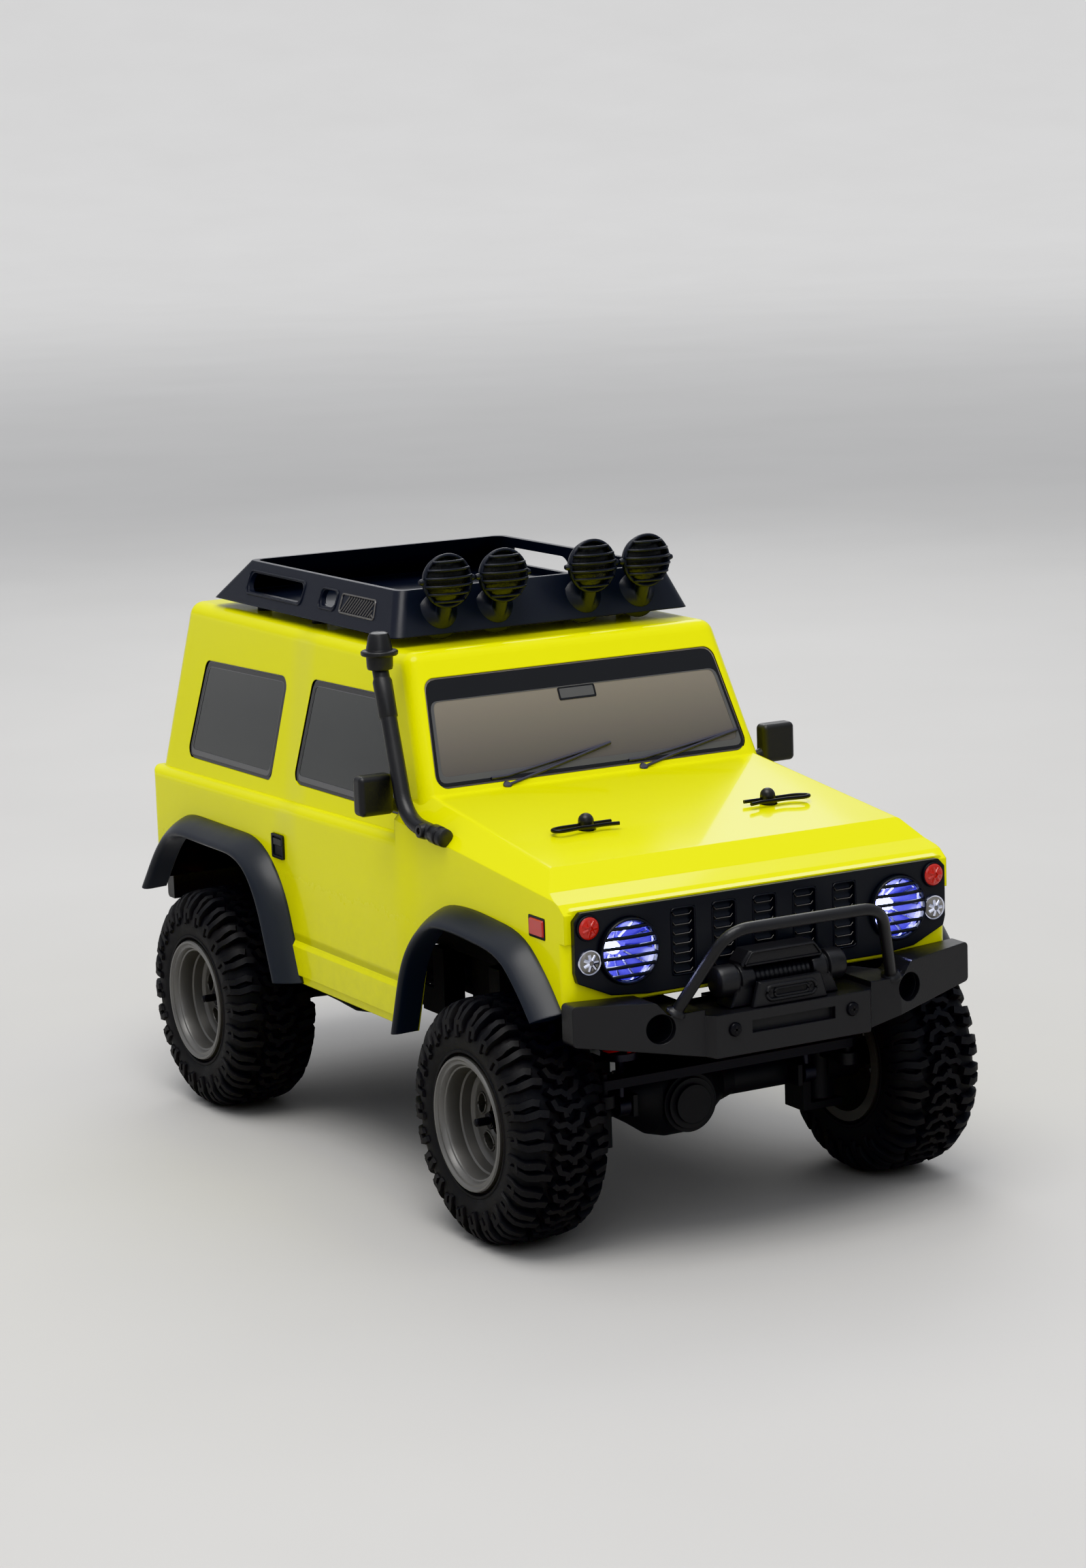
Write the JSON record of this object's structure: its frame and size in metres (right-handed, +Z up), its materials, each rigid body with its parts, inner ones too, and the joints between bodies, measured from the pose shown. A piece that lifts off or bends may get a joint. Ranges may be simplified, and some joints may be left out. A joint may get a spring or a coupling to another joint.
{
  "type": "remote control car",
  "caption": "Radio-controlled rock crawler with a boxy off-road body, roof basket, bull bar, snorkel, live axles and steered, sprung wheels.",
  "frame": {"origin": "on the ground, at the centre of the bounding box", "axes": "+X forward, +Y to the car's left, +Z up"},
  "size_m": [0.2776, 0.135, 0.1629],
  "materials": {
    "frame_plastic": "satin moulded black",
    "lamp_housing": "satin moulded black",
    "motor_can": "plated can",
    "battery_wrap": "shrink wrap",
    "black_steel": "black coated",
    "winch_plastic": "satin moulded black",
    "body_yellow": "glossy lemon yellow",
    "smoked_glass": "smoked",
    "lamp_lens": "clear",
    "shock_metal": "anodised",
    "spring_red": "painted",
    "link_steel": "satin",
    "steel": "bright",
    "rubber": "matte",
    "wheel_silver": "satin silver grey"
  },
  "bodies": {
    "chassis": {"chassis_rails": "frame_plastic", "link_brackets": "frame_plastic", "skid_plate": "frame_plastic", "gearbox_case": "frame_plastic", "motor": "motor_can", "electronics_box": "frame_plastic", "battery_pack": "battery_wrap", "body_posts": "frame_plastic", "shock_bodies": "shock_metal", "front_bumper": "frame_plastic", "rear_bumper": "frame_plastic", "bull_bar": "black_steel", "winch": "winch_plastic", "body_shell": "body_yellow", "window_glazing": "smoked_glass", "fender_flares": "frame_plastic", "grille_panel": "frame_plastic", "front_lamps": "lamp_lens", "roof_rack": "frame_plastic", "roof_lamps": "lamp_housing", "snorkel": "frame_plastic", "mirrors": "frame_plastic", "front_springs": "spring_red", "rear_springs": "spring_red"},
    "front_axle": {"front_axle_housing": "frame_plastic", "front_diff_cover": "frame_plastic", "steering_servo": "frame_plastic"},
    "rear_axle": {"rear_axle_housing": "frame_plastic", "rear_diff_cover": "frame_plastic"},
    "servo_horn": {"servo_horn": "frame_plastic"},
    "tie_rod": {"tie_rod": "black_steel"},
    "knuckle_left": {"knuckle_left": "frame_plastic"},
    "knuckle_right": {"knuckle_right": "frame_plastic"},
    "wheel_front_left": {"axle_shaft_front_left": "steel", "rim_front_left": "wheel_silver", "tyre_front_left": "rubber"},
    "wheel_front_right": {"axle_shaft_front_right": "steel", "rim_front_right": "wheel_silver", "tyre_front_right": "rubber"},
    "wheel_rear_left": {"axle_shaft_rear_left": "steel", "rim_rear_left": "wheel_silver", "tyre_rear_left": "rubber"},
    "wheel_rear_right": {"axle_shaft_rear_right": "steel", "rim_rear_right": "wheel_silver", "tyre_rear_right": "rubber"},
    "front_driveshaft": {"front_driveshaft": "frame_plastic"},
    "front_upper_link": {"front_upper_link": "link_steel"},
    "front_lower_link_left": {"front_lower_link_left": "link_steel"},
    "front_shock_rod_left": {"front_shock_rod_left": "steel"},
    "front_lower_link_right": {"front_lower_link_right": "link_steel"},
    "front_shock_rod_right": {"front_shock_rod_right": "steel"},
    "rear_driveshaft": {"rear_driveshaft": "frame_plastic"},
    "rear_upper_link": {"rear_upper_link": "link_steel"},
    "rear_lower_link_left": {"rear_lower_link_left": "link_steel"},
    "rear_shock_rod_left": {"rear_shock_rod_left": "steel"},
    "rear_lower_link_right": {"rear_lower_link_right": "link_steel"},
    "rear_shock_rod_right": {"rear_shock_rod_right": "steel"},
    "body_clip_left": {"body_clip_left": "black_steel"},
    "body_clip_right": {"body_clip_right": "black_steel"}
  },
  "joints": [
    {"name": "front_axle_roll", "type": "hinge", "parent": "chassis", "child": "front_axle", "pos_m": [0, 0, 0.028], "axis": [1, 0, 0], "range_deg": [-7, 7], "stiffness_Nm_per_rad": 0.2, "deforming": ["front_springs"]},
    {"name": "front_lower_link_left_swing", "type": "hinge", "parent": "chassis", "child": "front_lower_link_left", "pos_m": [0.028, 0.02, 0.036], "axis": [0, -1, 0], "range_deg": [-3.6, 3.6]},
    {"name": "front_shock_left_travel", "type": "slide", "parent": "chassis", "child": "front_shock_rod_left", "axis": [0, 0, 1], "range_m": [-0.0036, 0.0036]},
    {"name": "front_lower_link_right_swing", "type": "hinge", "parent": "chassis", "child": "front_lower_link_right", "pos_m": [0.028, -0.02, 0.036], "axis": [0, -1, 0], "range_deg": [-3.6, 3.6]},
    {"name": "front_shock_right_travel", "type": "slide", "parent": "chassis", "child": "front_shock_rod_right", "axis": [0, 0, 1], "range_m": [-0.0036, 0.0036]},
    {"name": "front_upper_link_swing", "type": "hinge", "parent": "chassis", "child": "front_upper_link", "pos_m": [0.028, 0, 0.0474], "axis": [0, 0, 1], "range_deg": [-3, 3]},
    {"name": "rear_axle_roll", "type": "hinge", "parent": "chassis", "child": "rear_axle", "pos_m": [0, 0, 0.028], "axis": [1, 0, 0], "range_deg": [-7, 7], "stiffness_Nm_per_rad": 0.2, "deforming": ["rear_springs"]},
    {"name": "rear_lower_link_left_swing", "type": "hinge", "parent": "chassis", "child": "rear_lower_link_left", "pos_m": [-0.018, 0.02, 0.036], "axis": [0, 1, 0], "range_deg": [-3.6, 3.6]},
    {"name": "rear_shock_left_travel", "type": "slide", "parent": "chassis", "child": "rear_shock_rod_left", "axis": [0, 0, 1], "range_m": [-0.0036, 0.0036]},
    {"name": "rear_lower_link_right_swing", "type": "hinge", "parent": "chassis", "child": "rear_lower_link_right", "pos_m": [-0.018, -0.02, 0.036], "axis": [0, 1, 0], "range_deg": [-3.6, 3.6]},
    {"name": "rear_shock_right_travel", "type": "slide", "parent": "chassis", "child": "rear_shock_rod_right", "axis": [0, 0, 1], "range_m": [-0.0036, 0.0036]},
    {"name": "rear_upper_link_swing", "type": "hinge", "parent": "chassis", "child": "rear_upper_link", "pos_m": [-0.018, 0, 0.0474], "axis": [0, 0, 1], "range_deg": [-3, 3]},
    {"name": "steer_left", "type": "hinge", "parent": "front_axle", "child": "knuckle_left", "pos_m": [0.086, 0.036, 0.031], "axis": [0, 0, 1], "range_deg": [-30, 30]},
    {"name": "steer_right", "type": "hinge", "parent": "front_axle", "child": "knuckle_right", "pos_m": [0.086, -0.036, 0.031], "axis": [0, 0, 1], "range_deg": [-30, 30]},
    {"name": "tie_rod_swing", "type": "hinge", "parent": "knuckle_left", "child": "tie_rod", "pos_m": [0.1, 0.036, 0.0394], "axis": [0, 0, 1], "range_deg": [-30, 30]},
    {"name": "servo_horn_turn", "type": "hinge", "parent": "front_axle", "child": "servo_horn", "pos_m": [0.086, 0.01, 0.042], "axis": [0, 0, 1], "range_deg": [-30, 30]},
    {"name": "spin_front_left", "type": "hinge", "parent": "knuckle_left", "child": "wheel_front_left", "pos_m": [0.086, 0.055, 0.031], "axis": [0, 1, 0], "continuous": true},
    {"name": "spin_front_right", "type": "hinge", "parent": "knuckle_right", "child": "wheel_front_right", "pos_m": [0.086, -0.055, 0.031], "axis": [0, 1, 0], "continuous": true},
    {"name": "spin_rear_left", "type": "hinge", "parent": "rear_axle", "child": "wheel_rear_left", "pos_m": [-0.076, 0.055, 0.031], "axis": [0, 1, 0], "continuous": true},
    {"name": "spin_rear_right", "type": "hinge", "parent": "rear_axle", "child": "wheel_rear_right", "pos_m": [-0.076, -0.055, 0.031], "axis": [0, 1, 0], "continuous": true},
    {"name": "front_driveshaft_spin", "type": "hinge", "parent": "chassis", "child": "front_driveshaft", "pos_m": [0.023, -0.009, 0.041], "axis": [0.981, 0, -0.1939], "continuous": true},
    {"name": "rear_driveshaft_spin", "type": "hinge", "parent": "chassis", "child": "rear_driveshaft", "pos_m": [-0.013, -0.009, 0.041], "axis": [0.981, 0, 0.1939], "continuous": true},
    {"name": "body_clip_left_pull", "type": "slide", "parent": "chassis", "child": "body_clip_left", "axis": [0, 1, 0], "range_m": [0, 0.02]},
    {"name": "body_clip_right_pull", "type": "slide", "parent": "chassis", "child": "body_clip_right", "axis": [0, -1, 0], "range_m": [0, 0.02]}
  ],
  "couplings": [
    {"joint": "front_lower_link_left_swing", "follows": "front_axle_roll", "ratio": 0.44944},
    {"joint": "front_shock_left_travel", "follows": "front_axle_roll", "m_per_rad": 0.0275},
    {"joint": "front_lower_link_right_swing", "follows": "front_axle_roll", "ratio": -0.44944},
    {"joint": "front_shock_right_travel", "follows": "front_axle_roll", "m_per_rad": -0.0275},
    {"joint": "front_upper_link_swing", "follows": "front_axle_roll", "ratio": -0.33708},
    {"joint": "rear_lower_link_left_swing", "follows": "rear_axle_roll", "ratio": 0.44944},
    {"joint": "rear_shock_left_travel", "follows": "rear_axle_roll", "m_per_rad": 0.0275},
    {"joint": "rear_lower_link_right_swing", "follows": "rear_axle_roll", "ratio": -0.44944},
    {"joint": "rear_shock_right_travel", "follows": "rear_axle_roll", "m_per_rad": -0.0275},
    {"joint": "rear_upper_link_swing", "follows": "rear_axle_roll", "ratio": 0.33708},
    {"joint": "steer_right", "follows": "steer_left", "ratio": 1},
    {"joint": "tie_rod_swing", "follows": "steer_left", "ratio": -1},
    {"joint": "servo_horn_turn", "follows": "steer_left", "ratio": 1},
    {"joint": "spin_front_right", "follows": "spin_front_left", "ratio": 1},
    {"joint": "spin_rear_left", "follows": "spin_front_left", "ratio": 1},
    {"joint": "spin_rear_right", "follows": "spin_front_left", "ratio": 1},
    {"joint": "front_driveshaft_spin", "follows": "spin_front_left", "ratio": 2.6},
    {"joint": "rear_driveshaft_spin", "follows": "spin_front_left", "ratio": -2.6}
  ]
}
